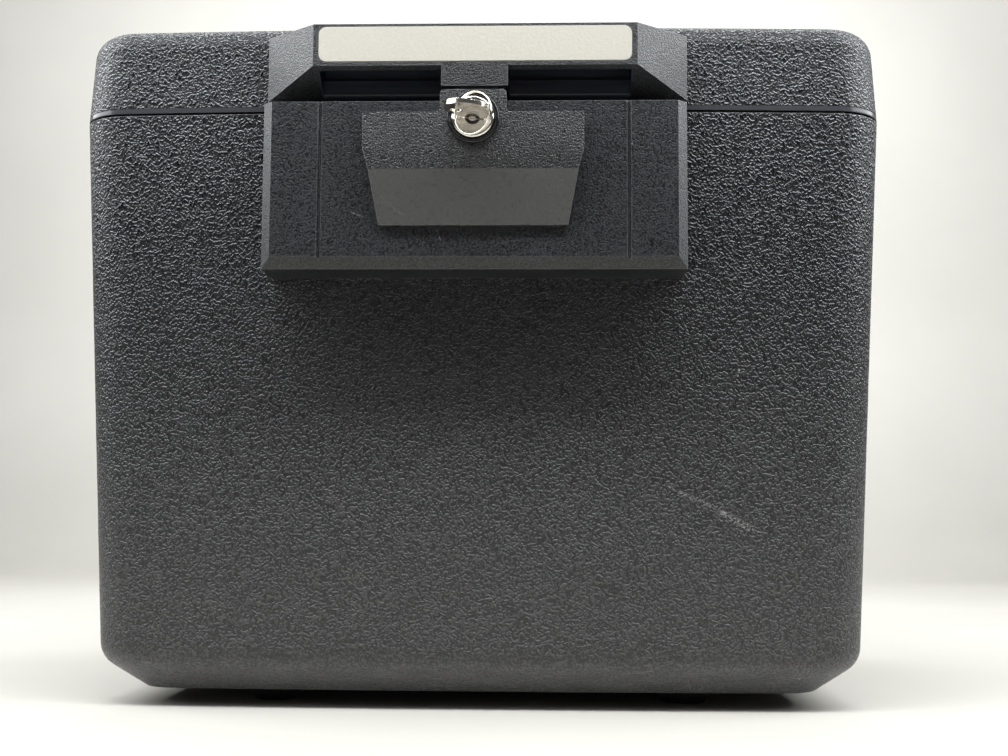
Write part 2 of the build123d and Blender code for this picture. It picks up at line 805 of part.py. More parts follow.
def make_handle_housing():
    """Bevelled moulding on the front of the lid with two finger recesses and a centre boss."""
    front_y = proud(handle_proud)
    base_y = proud(handle_base_proud)
    top = handle_top
    back = proud(-moulding_root)
    base = block(-handle_base_half, handle_base_half, back, base_y, handle_base_bottom, top)
    low_wire = Wire.make_polygon([(-handle_base_half, base_y, handle_base_bottom),
                                  (handle_base_half, base_y, handle_base_bottom),
                                  (handle_base_half, base_y, top), (-handle_base_half, base_y, top)],
                                 close=True)
    high_wire = Wire.make_polygon([(-handle_front_half, front_y, handle_front_bottom),
                                   (handle_front_half, front_y, handle_front_bottom),
                                   (handle_front_half, front_y, top), (-handle_front_half, front_y, top)],
                                  close=True)
    solid = base + Solid.make_loft([low_wire, high_wire], True)
    solid += block(-boss_half, boss_half, base_y, front_y, boss_bottom, handle_front_bottom + 1)
    w = handle_wall
    for side in (-1, 1):
        inner, outer = side * (boss_half + recess_side_gap), side * recess_outer
        mouth = block(inner, outer, proud(handle_base_proud), proud(handle_proud - w),
                      handle_base_bottom - 1, ledge_height)
        pocket = block(inner, outer, proud(recess_back_proud), proud(handle_proud - w), ledge_height,
                       recess_roof)
        pocket = fillet(pocket.edges().filter_by(Axis.Y).sort_by(Axis.Z)[-2:], recess_round)
        ledge = block(inner, outer, back, proud(ledge_proud), handle_base_bottom, ledge_height)
        low_edge = ledge.edges().filter_by(Axis.X).sort_by(Axis.Z)[:2].sort_by(Axis.Y)[0]
        solid = solid - mouth - pocket + fillet(low_edge, ledge_round)
    rear = strike_proud + strike_thickness + strike_barb + 2
    hollow_half = boss_half - w
    solid -= block(-hollow_half, hollow_half, back - 1, proud(rear), boss_bottom - 3, recess_roof)
    solid -= rounded_label(label_half + label_gap, label_bottom - label_gap, label_top + label_gap,
                           handle_proud - label_thickness, label_thickness * 2)
    for x in (-handle_screw_place, handle_screw_place):
        seat = proud(handle_proud - label_thickness - handle_screw_depth)
        head = hinge_screw_radius * 1.9 + handle_screw_head_gap
        solid -= rod(hinge_screw_radius + screw_hole_clearance, back, front_y, x, handle_screw_height)
        solid -= rod(head, seat, front_y, x, handle_screw_height)
    return solid - case_blank_lid()


def case_blank_lid():
    """Outside of the lid, carried down past its edge so that it also trims what hangs below."""
    return lid_outer() + tapered(lid_bottom - moulding_root, lid_bottom)


def rounded_label(half, low, high, start, thickness):
    sketch = Pos(0, (low + high) / 2) * RectangleRounded(2 * half, high - low, label_round)
    return extrude(Pos(0, proud(start), 0) * (Plane.XZ * sketch), thickness, dir=(0, -1, 0))


def make_nameplate():
    """Bare printed plate let into the handle's front."""
    return rounded_label(label_half, label_bottom, label_top, handle_proud - label_thickness,
                         label_thickness + label_stands_out)


def make_handle_screws():
    screws = []
    for x in (-handle_screw_place, handle_screw_place):
        seat = proud(handle_proud - label_thickness - handle_screw_depth)
        end = front_skin(x, handle_screw_height) + screw_length
        screws.append(screw_into(1, x, seat, handle_screw_height, hinge_screw_radius, end - seat))
    return Compound(screws)


def strike_screws_x():
    return (-strike_half / 2, strike_half / 2)


def make_strike_plate():
    """Bent steel strike: a flange on the lid's front, a shelf, and a hanging plate with a barb."""
    t = strike_thickness
    skin = -(front_skin(0, strike_screw_height) - front)
    top = strike_shelf + strike_flange_height
    hang = block(-strike_half, strike_half, proud(strike_proud), proud(strike_proud + t), strike_bottom,
                 strike_shelf + t)
    barb_top = strike_barb_top()
    barb = side_profile([(strike_proud + t, barb_top), (strike_proud + t + strike_barb, barb_top),
                         (strike_proud + t, barb_top - strike_barb * 1.2)], -strike_half, strike_half)
    shelf = block(-strike_half, strike_half, proud(skin), proud(strike_proud + t), strike_shelf,
                  strike_shelf + t)
    flange = block(-strike_half, strike_half, proud(-moulding_root), proud(skin + t), strike_shelf, top)
    plate = hang + barb + shelf + flange
    for x in strike_screws_x():
        plate -= rod(hinge_screw_radius, proud(-moulding_root), proud(handle_proud), x, strike_screw_height)
    return plate - case_blank_lid()


def make_strike_screws():
    skin = -(front_skin(0, strike_screw_height) - front)
    return Compound([
        screw_into(1, x, proud(skin + strike_thickness), strike_screw_height, hinge_screw_radius,
                   screw_length)
        for x in strike_screws_x()
    ])


# Hinges


def hinge_sides():
    return {"left": -1, "right": 1}


def hinge_screw_places(level):
    """Places of the screws below (-1) or above (1) the hinge axis."""
    reach = hinge_radius + (hinge_reach - hinge_pad_margin - hinge_radius) / 2
    z = (body_top if level < 0 else lid_bottom) + level * reach
    return [(side * hinge_spread + dx, z) for side in (-1, 1) for dx in (-hinge_length / 3, hinge_length / 3)]


def hinge_leaf_piece(side, level):
    """Leaf with its share of the knuckles; level -1 is on the body and 1 on the lid."""
    middle = side * hinge_spread
    x0 = middle - hinge_length / 2
    pad = half_depth + hinge_pad_proud
    z_edge = seam_height + level * (hinge_radius + hinge_side_gap)
    z_far = seam_height + level * (hinge_reach - hinge_pad_margin - 1)
    leaf = block(x0, x0 + hinge_length, pad, pad + hinge_leaf, z_edge, z_far)
    pitch = hinge_length / hinge_knuckles
    for i in range(hinge_knuckles):
        own = (i % 2 == 0) == (level < 0)
        if own:
            a = x0 + i * pitch + (hinge_knuckle_gap / 2 if i else 0)
            b = x0 + (i + 1) * pitch - (hinge_knuckle_gap / 2 if i < hinge_knuckles - 1 else 0)
            leaf += axle(hinge_radius, a, b, axis_y, seam_height)
            leaf += block(a, b, pad, pad + hinge_leaf, seam_height, z_edge)
    clearance = 0.0 if level < 0 else running_clearance
    leaf -= axle(hinge_pin_radius + clearance, x0 - 1, x0 + hinge_length + 1, axis_y, seam_height)
    for x, z in hinge_screw_places(level):
        leaf -= rod(hinge_screw_radius, pad - 1, pad + hinge_leaf + 1, x, z)
    return leaf


def make_hinge_pin(side):
    middle = side * hinge_spread
    half = hinge_length / 2
    pin = axle(hinge_pin_radius, middle - half, middle + half + 0.2, axis_y, seam_height)
    head = axle(hinge_radius * 0.8, middle + half + 0.2, middle + half + 1.8, axis_y, seam_height)
    return pin + head


def make_hinge_screws(level):
    pad = half_depth + hinge_pad_proud + hinge_leaf
    return Compound([screw_into(-1, x, pad, z, hinge_screw_radius, screw_length)
                     for x, z in hinge_screw_places(level)])


def all_pieces():
    """Every node by name, in the middle of the box's own coordinates."""
    pieces = {
        "body_shell": make_body_shell(),
        "body_insulation": make_body_insulation(),
        "body_liner": make_body_liner(),
        "foot_screws": make_foot_screws(),
        "latch_housing": make_latch_housing(),
        "housing_screws": make_housing_screws(),
        "latch_pin": make_latch_pin(),
        "latch_spring": make_latch_spring(),
        "latch_lever": make_latch_lever(),
        "lock_collar": make_lock_collar(),
        "lock_barrel": make_lock_barrel(),
        "lock_clip": make_lock_clip(),
        "lock_plug": make_lock_plug(),
        "lock_cam": make_lock_cam(),
        "cam_screw": make_cam_screw(),
        "key": make_key(),
        "key_ring": make_key_ring(),
        "lid_shell": make_lid_shell(),
        "lid_insulation": make_lid_insulation(),
        "lid_liner": make_lid_liner(),
        "handle_housing": make_handle_housing(),
        "nameplate": make_nameplate(),
        "handle_screws": make_handle_screws(),
        "strike_plate": make_strike_plate(),
        "strike_screws": make_strike_screws(),
        "hinge_screws_body": make_hinge_screws(-1),
        "hinge_screws_lid": make_hinge_screws(1),
    }
    names = ("front_left", "front_right", "rear_left", "rear_right")
    for name, (x, y) in zip(names, foot_places()):
        pieces["foot_" + name] = make_foot(x, y)
    for name, side in hinge_sides().items():
        pieces["hinge_leaf_body_" + name] = hinge_leaf_piece(side, -1)
        pieces["hinge_leaf_lid_" + name] = hinge_leaf_piece(side, 1)
        pieces["hinge_pin_" + name] = make_hinge_pin(side)
    return pieces


def main():
    os.makedirs("parts", exist_ok=True)
    pieces = all_pieces()
    low = min(p.bounding_box().min.Y for p in pieces.values())
    high = max(p.bounding_box().max.Y for p in pieces.values())
    shift = -(low + high) / 2
    print("moved along Y by", round(shift, 4))
    for name, piece in pieces.items():
        export_step(Pos(0, shift, 0) * piece, os.path.join("parts", name + ".step"))


main()
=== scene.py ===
import json
import math
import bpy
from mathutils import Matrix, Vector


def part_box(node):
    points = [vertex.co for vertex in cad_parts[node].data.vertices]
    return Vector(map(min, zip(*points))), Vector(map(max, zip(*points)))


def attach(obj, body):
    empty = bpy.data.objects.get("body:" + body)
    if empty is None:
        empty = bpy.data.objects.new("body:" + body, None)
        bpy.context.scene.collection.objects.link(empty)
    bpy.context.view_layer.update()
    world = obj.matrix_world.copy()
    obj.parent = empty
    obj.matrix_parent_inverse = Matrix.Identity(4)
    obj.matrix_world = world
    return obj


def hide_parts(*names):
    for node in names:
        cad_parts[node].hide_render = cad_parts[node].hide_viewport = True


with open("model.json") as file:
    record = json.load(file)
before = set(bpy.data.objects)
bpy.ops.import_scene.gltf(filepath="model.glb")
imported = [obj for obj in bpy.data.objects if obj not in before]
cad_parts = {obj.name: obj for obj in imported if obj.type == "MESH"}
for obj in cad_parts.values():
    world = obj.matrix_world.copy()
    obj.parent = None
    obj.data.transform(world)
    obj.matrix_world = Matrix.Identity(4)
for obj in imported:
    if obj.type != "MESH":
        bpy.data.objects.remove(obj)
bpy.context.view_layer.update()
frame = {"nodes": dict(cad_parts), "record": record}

from types import SimpleNamespace

import bmesh
import bpy
from mathutils import Matrix, Vector

# Looks of a portable fire-resistant safe in a white light tent.
# Lengths are in metres, in the frame of the model. A noise scale is in cells per metre.

MM = 0.001
NODES = frame["nodes"]

# Places read from the frame
LID_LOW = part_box("lid_shell")[0]
LINER_LOW, LINER_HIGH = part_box("body_liner")
CASE_MIDDLE_Y = (LINER_LOW.y + LINER_HIGH.y) / 2
FRONT_Y = LID_LOW.y
PLATE_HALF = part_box("nameplate")[1].x

# Camera: fitted to the photograph, whose frame is 1008 by 756. Angles are in degrees.
IMAGE_WIDTH = 1008
FOCAL_PIXELS = 1357.4
SENSOR_MM = 36.0
CAMERA_RIGHT = 34.0 * MM
CAMERA_AHEAD = 628.6 * MM
CAMERA_HEIGHT = 94.9 * MM
CAMERA_YAW = -1.874
CAMERA_PITCH = 5.433
CAMERA_ROLL = 0.285
CLIP_START = 10.0 * MM

# Tent: its cloth is a pair of colours that a faint mottling mixes
TENT_FRONT = -2.2
TENT_BACK = 1.5
TENT_BEND = 0.45
TENT_BEND_STEPS = 14
TENT_TOP = 2.5
TENT_HALF_WIDTH = 2.6
WALL_CLOTH = ((0.620, 0.598, 0.560), (0.650, 0.628, 0.588))
FLOOR_CLOTH = ((0.430, 0.413, 0.382), (0.455, 0.437, 0.405))
FLOOR_TO_WALL = (0.0, 0.40)
CLOTH_PATCHES = 5.0
CLOTH_ROUGHNESS = 0.9
CLOTH_SPECULAR = 0.1

# Lights: sizes are width and height
LIGHT_COLOUR = (0.955, 0.985, 1.0)
STRIP_AHEAD = 0.26
STRIP_HEIGHT = 0.80
STRIP_LEAN = 0.12
STRIP_SIZE = (1.0, 0.10)
STRIP_POWER = 10.0
ROOF_PLACE = (0.0, 0.10, 0.95)
ROOF_AIM = (0.0, 0.05, 0.0)
ROOF_SIZE = (1.3, 0.9)
ROOF_POWER = 2.0
WALL_OUT = 0.80
WALL_AHEAD = 0.15
WALL_HEIGHT = 0.75
WALL_AIM_HEIGHT = 0.35
WALL_SIZE = (0.9, 0.6)
WALL_POWER = 14.0
WASH_PLACE = (0.0, 0.62, 1.25)
WASH_AIM = (0.0, 1.15, 0.35)
WASH_SIZE = (1.6, 0.4)
WASH_POWER = 26.0
AIR_COLOUR = (0.97, 0.98, 1.0)
AIR_STRENGTH = 0.06

# Pebble grain of the case: its noises are sized by one cell, and the shares add up to its height
GRAIN_CELL = 1.50 * MM
GRAIN_DEPTH = 0.40 * MM
WANDER_NOISE = 0.5 / GRAIN_CELL
WANDER_REACH = 1.6 * GRAIN_CELL
PEBBLE_NOISE = 1.25 / GRAIN_CELL
PEBBLE_ENDS = (0.36, 0.64)
PEBBLE_SHARE = 0.62
WRINKLE_NOISE = 0.75 / GRAIN_CELL
WRINKLE_ENDS = (0.0, 0.09)
WRINKLE_SHARE = 0.25
FINE_NOISE = 2.6 / GRAIN_CELL
FINE_SHARE = 0.25

# Case plastic
SHELL_COLOURS = ((0.0042, 0.0047, 0.0062), (0.0070, 0.0076, 0.0095))
SHELL_PATCHES = 14.0
SHELL_GLOSS_PATCHES = 120.0
SHELL_SPECULAR = 0.28
SHELL_ROUGH = (0.17, 0.25)
SHELL_EDGE = 0.8 * MM
PEAK_ENDS = (0.25, 0.95)
# Painted shade darkens the grain's valleys
VALLEY_PAINTED_SHADE = (0.0015, 0.0016, 0.0020)
VALLEY_ROUGH = 0.36

# Painted highlights: pale tips where the grain falls away upwards, as light from above would catch it; they
# fade towards the floor and on level faces
PAINTED_GLINT_COLOUR = (0.270, 0.277, 0.298)
PAINTED_GLINT_STEP = 0.35 * MM
PAINTED_GLINT_SLOPES = (0.16, 0.44)
PAINTED_GLINT_HEIGHTS = (0.060, 0.280)
PAINTED_GLINT_SHARES = (0.22, 1.0)
LEVEL_ENDS = (0.55, 0.90)
LEVEL_SHARES = (1.0, 0.12)

# Painted light by height: lighter towards the bottom as light from the floor would make it, and a painted
# floor reflection along the bottom edge. Wear: a smooth band on the lid, and scratches on the front.
# A scratch is its start and its end in X and Z, its half width and its strength.
PAINTED_BOUNCE_HEIGHTS = (0.015, 0.240)
PAINTED_BOUNCE_COLOUR = (0.0820, 0.0820, 0.0815)
PAINTED_BOUNCE_IN_VALLEYS = 0.50
PAINTED_REFLECTION_HEIGHTS = (0.016, 0.030)
PAINTED_REFLECTION_COLOUR = (0.2000, 0.2010, 0.2030)
LID_BAND = (LID_LOW.z - 1.0 * MM, LID_LOW.z + 2.2 * MM)
NO_BAND = (-1.0, -0.9)
BAND_COLOUR = (0.0450, 0.0462, 0.0520)
BAND_FADE = 0.4 * MM
SHELL_MARK_COLOUR = (0.35, 0.35, 0.34)
BODY_MARKS = (((0.1236, 0.1600), (0.1222, 0.1555), 0.6 * MM, 1.0),
              ((0.0880, 0.1060), (0.1150, 0.0935), 1.1 * MM, 0.28),
              ((0.1120, 0.0945), (0.1310, 0.0842), 2.0 * MM, 0.40))
PANEL_MARKS = (((-0.0560, 0.2280), (-0.0495, 0.2252), 0.45 * MM, 0.45),
               ((-0.0169, 0.2200), (-0.0146, 0.2145), 0.40 * MM, 0.35))
LEVER_MARKS = (((-0.0420, 0.2345), (-0.0345, 0.2275), 0.45 * MM, 0.22),
               ((-0.0350, 0.2279), (-0.0265, 0.2228), 0.45 * MM, 0.28))
MARK_CORE = 0.3
MARK_TAPER = 0.35
MARK_BREAKS = 900.0
MARK_BREAK_ENDS = (0.42, 0.56)
FRONT_DEPTHS = (FRONT_Y + 0.02, FRONT_Y + 0.03)

# Edges: the cosine between the rounded normal and the flat one tells how near an edge is
EDGE_COSINES = (0.80, 0.97)
EDGE_SAMPLES = 4
# Painted highlight along sharp edges, and how far it reaches
PAINTED_EDGE_HIGHLIGHT = (0.130, 0.132, 0.136)
PAINTED_EDGE_REACH = 0.7 * MM
PLASTIC_EDGE = 0.5 * MM
METAL_EDGE = 0.3 * MM
ROUNDED_NODES = ("latch_housing", "handle_housing", "latch_lever")
ROUND_WIDTH = 0.55 * MM
ROUND_SEGMENTS = 2
ROUND_FROM = 30.0
WELD_REACH = 0.002 * MM

# Housings: fine grain, whose colours are shares of one colour
PANEL = {"cell": 0.75 * MM, "depth": 0.09 * MM, "colour": (0.0180, 0.0187, 0.0215), "rough": (0.30, 0.38)}
HANDLE = {"cell": 0.75 * MM, "depth": 0.12 * MM, "colour": (0.0250, 0.0257, 0.0278), "rough": (0.32, 0.42)}
LEVER = {"cell": 0.85 * MM, "depth": 0.21 * MM, "colour": (0.0125, 0.0130, 0.0150), "rough": (0.25, 0.35)}
HOUSING_PATCHES = 30.0
HOUSING_GLOSS_PATCHES = 400.0
SPECK_ENDS = (0.34, 0.66)
PALE_SHARES = (1.5, 1.9)
PIT_SHARE = 0.10
HOUSING_MARK_COLOUR = (0.30, 0.30, 0.30)

# Smoother lower face of the lever: dusty, and paler with a painted reflection of the floor
FACET_TOP = 246.1 * MM
FACET_FADE = 0.3 * MM
FACET_DUST_AND_REFLECTION = (0.082, 0.082, 0.079)
FACET_GRAIN = 0.25
FACET_SPECKS = 0.93

# Glossy finger recesses, and how far their box stands off the handle's own
POCKET_COLOUR = (0.0400, 0.0430, 0.0560)
POCKET_FADE = 0.4 * MM
POCKET_GLOSS = 0.30
POCKET_BESIDE_PLATE = 1.0 * MM
POCKET_BEHIND_HANDLE = 2.5 * MM
POCKET_BELOW_HANDLE = 4.0 * MM
POCKET_INTO_LID = 20.0 * MM

# Smooth plastic
FLOW_PATCHES = 60.0
FLOW_SHARE = 1.2
FLOW_ROUGH_BELOW = 0.04
FLOW_ROUGH_ABOVE = 0.05
RIPPLES = 500.0
RIPPLE_DEPTH = 0.04 * MM

# Metal
SMUDGES = 300.0
SMUDGE_ENDS = (0.35, 0.70)
SMUDGE_SHARE = 0.82
SMUDGE_ROUGH = 0.12
HAIRLINES = 900.0
HAIRLINE_DEPTH = 0.02 * MM
ZINC_NODES = ("latch_pin", "latch_spring", "lock_clip", "lock_cam", "strike_plate")

# Plate
PLATE_COLOURS = ((0.525, 0.500, 0.440), (0.570, 0.545, 0.480))
PLATE_FIBRES = 700.0
PLATE_METALLIC = 0.15
PLATE_ROUGH = (0.38, 0.50)
PLATE_DEPTH = 0.03 * MM

# Rubber
RUBBER_COLOURS = ((0.010, 0.010, 0.011), (0.018, 0.018, 0.018))
RUBBER_SPECKS = 1200.0
RUBBER_ROUGH = (0.65, 0.80)
RUBBER_DEPTH = 0.06 * MM

# Filling, bare and sealed
FILLING_COLOURS = ((0.42, 0.40, 0.37), (0.66, 0.64, 0.60))
SEAL_COLOURS = ((0.026, 0.026, 0.028), (0.036, 0.036, 0.038))
SEAL_DEPTH = 1.0 * MM
SEAL_FADE = 0.3 * MM
BARE_ROUGH = 0.90
SEALED_ROUGH = 0.50
PORES = 400.0
PORE_ENDS = (0.0, 0.5)
PORE_DEPTH = 0.4 * MM

# Split ring: the wire's two turns cross over at one angle, in degrees
RING_WIRE = 0.70 * MM
RING_TURNS = 2
RING_STEPS = 96
RING_GAP_STEPS = 3
RING_START = 200.0
RING_CROSSING = 0.10
RING_SIDES = 10
WIRE_SHARE = 0.98

# Dark crescents of painted shade round the key's slot, standing for its countersunk entry; the key's turn in
# the photograph is in degrees
KEY_TILT = 6.5
SHADE_CRESCENT_INNER = 2.2 * MM
SHADE_CRESCENT_OUTER = 3.7 * MM
SHADE_CRESCENT_PROUD = 0.15 * MM
SHADE_CRESCENT_STEPS = 24
SLOT_KEEP = 1.35 * MM


# Small tools for node trees


def new_material(name):
    material = bpy.data.materials.new(name)
    material.use_nodes = True
    tree = material.node_tree
    tree.nodes.clear()
    out = tree.nodes.new("ShaderNodeOutputMaterial")
    shader = tree.nodes.new("ShaderNodeBsdfPrincipled")
    tree.links.new(shader.outputs[0], out.inputs[0])
    return SimpleNamespace(material=material, tree=tree, shader=shader)


def add(kit, kind, **settings):
    """New node whose properties and sockets are set by name."""
    node = kit.tree.nodes.new(kind)
    for name, value in settings.items():
        if hasattr(node, name):
            setattr(node, name, value)
        else:
            node.inputs[name].default_value = value
    return node


def link(kit, source, target):
    kit.tree.links.new(source, target)


def to_shader(kit, socket, source):
    link(kit, source, kit.shader.inputs[socket])


def place(kit):
    """Object coordinates: metres in the frame of the model."""
    return add(kit, "ShaderNodeTexCoord").outputs["Object"]


def parts_of(kit, vector):
    """X, Y and Z of a vector."""
    split = add(kit, "ShaderNodeSeparateXYZ")
    link(kit, vector, split.inputs[0])
    return tuple(split.outputs)


def noise(kit, where, scale, detail=2.0, roughness=0.5):
    node = add(kit, "ShaderNodeTexNoise", Scale=scale, Detail=detail, Roughness=roughness)
    link(kit, where, node.inputs["Vector"])
    return node.outputs[0]


def remap(kit, value, ends, values=(0.0, 1.0), smooth=False):
    """Carries the range between two ends over to a pair of values, and holds these outside it."""
    node = add(kit, "ShaderNodeMapRange")
    node.interpolation_type = "SMOOTHSTEP" if smooth else "LINEAR"
    for index, number in enumerate((*ends, *values)):
        node.inputs[index + 1].default_value = number
    link(kit, value, node.inputs[0])
    return node.outputs[0]


def blend(kit, mask, at_zero, at_one):
    """Number that goes from one value to the other as a mask goes from 0 to 1."""
    return remap(kit, mask, (0.0, 1.0), (at_zero, at_one))


def mottle(kit, where, scale, detail=3.0, roughness=0.5, ends=(0.3, 0.7), values=(0.0, 1.0)):
    """Soft patches: noise whose middle range is spread over a pair of values."""
    return remap(kit, noise(kit, where, scale, detail, roughness), ends, values)


def calc(kit, operation, a, b=None):
    """One step of arithmetic on sockets or numbers."""
    node = add(kit, "ShaderNodeMath", operation=operation)
    for index, value in enumerate((a, b)):
        if value is None:
            continue
        if isinstance(value, (int, float)):
            node.inputs[index].default_value = value
        else:
            link(kit, value, node.inputs[index])
    return node.outputs[0]


def times(kit, first, *others):
    """Product of sockets and numbers."""
    total = first
    for other in others:
        total = calc(kit, "MULTIPLY", total, other)
    return total


def mix_colour(kit, factor, a, b):
    node = add(kit, "ShaderNodeMix", data_type="RGBA")
    for index, value in ((0, factor), (6, a), (7, b)):
        if isinstance(value, (int, float)):
            node.inputs[index].default_value = value
        elif isinstance(value, tuple):
            node.inputs[index].default_value = (*value, 1.0)
        else:
            link(kit, value, node.inputs[index])
    return node.outputs[2]


def shade(colour, share):
    return tuple(c * share for c in colour)


def soft_edges(kit, radius):
    """Normal that rounds the sharp edges of a moulding."""
    node = add(kit, "ShaderNodeBevel", samples=EDGE_SAMPLES)
    node.inputs["Radius"].default_value = radius
    return node.outputs[0]


def edge_mask(kit, rounded):
    """1 on sharp edges, 0 on flat faces, from the rounded normal."""
    dot = add(kit, "ShaderNodeVectorMath", operation="DOT_PRODUCT")
    link(kit, rounded, dot.inputs[0])
    link(kit, add(kit, "ShaderNodeNewGeometry").outputs["True Normal"], dot.inputs[1])
    return remap(kit, dot.outputs["Value"], EDGE_COSINES, (1.0, 0.0))


def relief(kit, height, depth, normal=None):
    """Normal of a surface that a height pattern roughens."""
    node = add(kit, "ShaderNodeBump", Strength=1.0, Distance=depth)
    link(kit, height, node.inputs["Height"])
    if normal is not None:
        link(kit, normal, node.inputs["Normal"])
    return node.outputs[0]


def stretched(kit, where, scale):
    """Coordinates with another scale along each axis."""
    node = add(kit, "ShaderNodeMapping")
    node.inputs["Scale"].default_value = scale
    link(kit, where, node.inputs["Vector"])
    return node.outputs[0]


def span_mask(kit, value, low, high, fade):
    """1 between two limits, 0 outside them, with a short fade at each."""
    return times(kit, remap(kit, value, (low - fade, low)),
                 remap(kit, value, (high, high + fade), (1.0, 0.0)))


def box_mask(kit, where, low, high, fade):
    """1 inside a box, 0 outside it, with a short fade at its faces."""
    spans = zip(parts_of(kit, where), low, high)
    return times(kit, *(span_mask(kit, value, least, most, fade) for value, least, most in spans))


# Materials


def pebble_height(kit, where):
    """Leather-like grain: short wandering wrinkles and pebbles with rounded tops."""
    wander = add(kit, "ShaderNodeTexNoise", Scale=WANDER_NOISE, Detail=1.0)
    link(kit, where, wander.inputs["Vector"])
    shift = add(kit, "ShaderNodeVectorMath", operation="MULTIPLY_ADD")
    link(kit, wander.outputs["Color"], shift.inputs[0])
    shift.inputs[1].default_value = (WANDER_REACH,) * 3
    link(kit, where, shift.inputs[2])
    flow = noise(kit, shift.outputs[0], PEBBLE_NOISE, detail=1.0, roughness=0.35)
    pebbles = remap(kit, flow, PEBBLE_ENDS, smooth=True)
    folds = noise(kit, where, WRINKLE_NOISE, detail=1.0, roughness=0.4)
    ridge = calc(kit, "ABSOLUTE", calc(kit, "SUBTRACT", folds, 0.5))
    wrinkles = remap(kit, ridge, WRINKLE_ENDS, smooth=True)
    fine = noise(kit, where, FINE_NOISE, detail=1.0)
    coarse = calc(kit, "ADD", times(kit, pebbles, PEBBLE_SHARE), times(kit, wrinkles, WRINKLE_SHARE))
    return calc(kit, "ADD", coarse, times(kit, fine, FINE_SHARE))


def painted_glint_mask(kit, where, z, lumps, keep):
    """Painted highlight where light from above would catch the grain: found by comparing its height with
    that a step higher up.
    """
    above = add(kit, "ShaderNodeVectorMath", operation="ADD")
    above.inputs[1].default_value = (0.0, 0.0, PAINTED_GLINT_STEP)
    link(kit, where, above.inputs[0])
    slope = calc(kit, "SUBTRACT", lumps, pebble_height(kit, above.outputs[0]))
    level = calc(kit, "ABSOLUTE", parts_of(kit, add(kit, "ShaderNodeTexCoord").outputs["Normal"])[2])
    return times(kit, remap(kit, slope, PAINTED_GLINT_SLOPES), keep, remap(kit, z, PAINTED_GLINT_HEIGHTS, PAINTED_GLINT_SHARES),
                 remap(kit, level, LEVEL_ENDS, LEVEL_SHARES))


def scratch_mask(kit, where, strokes):
    """Thin broken strokes, on the front only."""
    x, y, z = parts_of(kit, where)
    total = None
    for (x0, z0), (x1, z1), half, strength in strokes:
        length = math.hypot(x1 - x0, z1 - z0)
        ux, uz = (x1 - x0) / length, (z1 - z0) / length
        dx = calc(kit, "SUBTRACT", x, x0)
        dz = calc(kit, "SUBTRACT", z, z0)
        along = calc(kit, "ADD", times(kit, dx, ux), times(kit, dz, uz))
        across = calc(kit, "SUBTRACT", times(kit, dz, ux), times(kit, dx, uz))
        near = remap(kit, calc(kit, "ABSOLUTE", across), (half * MARK_CORE, half), (1.0, 0.0))
        off_middle = calc(kit, "ABSOLUTE", calc(kit, "SUBTRACT", along, length / 2))
        inside = remap(kit, off_middle, (length * MARK_TAPER, length / 2), (strength, 0.0))
        stroke = times(kit, near, inside)
        total = stroke if total is None else calc(kit, "MAXIMUM", total, stroke)
    front_only = remap(kit, y, FRONT_DEPTHS, (1.0, 0.0))
    broken = remap(kit, noise(kit, where, MARK_BREAKS, detail=1.0), MARK_BREAK_ENDS)
    return times(kit, total, front_only, broken)


def shell_plastic(name, band, strokes=()):
    """Charcoal plastic with a glossy pebble grain, smooth in a band between two heights. Its colour holds
    painted shade in the grain's valleys, painted highlights on upward slopes and edges, and painted floor
    light towards the bottom.
    """
    kit = new_material(name)
    where = place(kit)
    z = parts_of(kit, where)[2]
    lumps = pebble_height(kit, where)
    in_band = span_mask(kit, z, *band, BAND_FADE)
    keep = calc(kit, "SUBTRACT", 1.0, in_band)
    # Painted light from the floor: lighter towards the bottom
    painted_bounce = remap(kit, z, PAINTED_BOUNCE_HEIGHTS, (1.0, 0.0), smooth=True)
    # Painted reflection of the floor along the bottom edge
    painted_reflection = remap(kit, z, PAINTED_REFLECTION_HEIGHTS, (1.0, 0.0), smooth=True)
    # Mask for the painted shade in the grain's valleys, which the painted floor light lifts
    peaks = calc(kit, "MAXIMUM", remap(kit, lumps, PEAK_ENDS), in_band)
    peaks = calc(kit, "MAXIMUM", peaks, times(kit, painted_bounce, PAINTED_BOUNCE_IN_VALLEYS))
    rounded = soft_edges(kit, SHELL_EDGE)
    base = mix_colour(kit, mottle(kit, where, SHELL_PATCHES, roughness=0.6), *SHELL_COLOURS)
    base = mix_colour(kit, painted_bounce, base, PAINTED_BOUNCE_COLOUR)
    base = mix_colour(kit, painted_reflection, base, PAINTED_REFLECTION_COLOUR)
    base = mix_colour(kit, in_band, base, BAND_COLOUR)
    base = mix_colour(kit, peaks, VALLEY_PAINTED_SHADE, base)
    # Painted highlights on the upward slopes of the grain
    base = mix_colour(kit, painted_glint_mask(kit, where, z, lumps, keep), base, PAINTED_GLINT_COLOUR)
    # Painted highlight along the edges
    base = mix_colour(kit, edge_mask(kit, rounded), base, PAINTED_EDGE_HIGHLIGHT)
    if strokes:
        base = mix_colour(kit, scratch_mask(kit, where, strokes), base, SHELL_MARK_COLOUR)
    patches = mottle(kit, where, SHELL_GLOSS_PATCHES, roughness=0.6, values=SHELL_ROUGH)
    kit.shader.inputs["Specular IOR Level"].default_value = SHELL_SPECULAR
    to_shader(kit, "Base Color", base)
    to_shader(kit, "Roughness", calc(kit, "ADD", blend(kit, peaks, VALLEY_ROUGH, 0.0), patches))
    to_shader(kit, "Normal", relief(kit, times(kit, lumps, keep), GRAIN_DEPTH, rounded))
    return kit.material


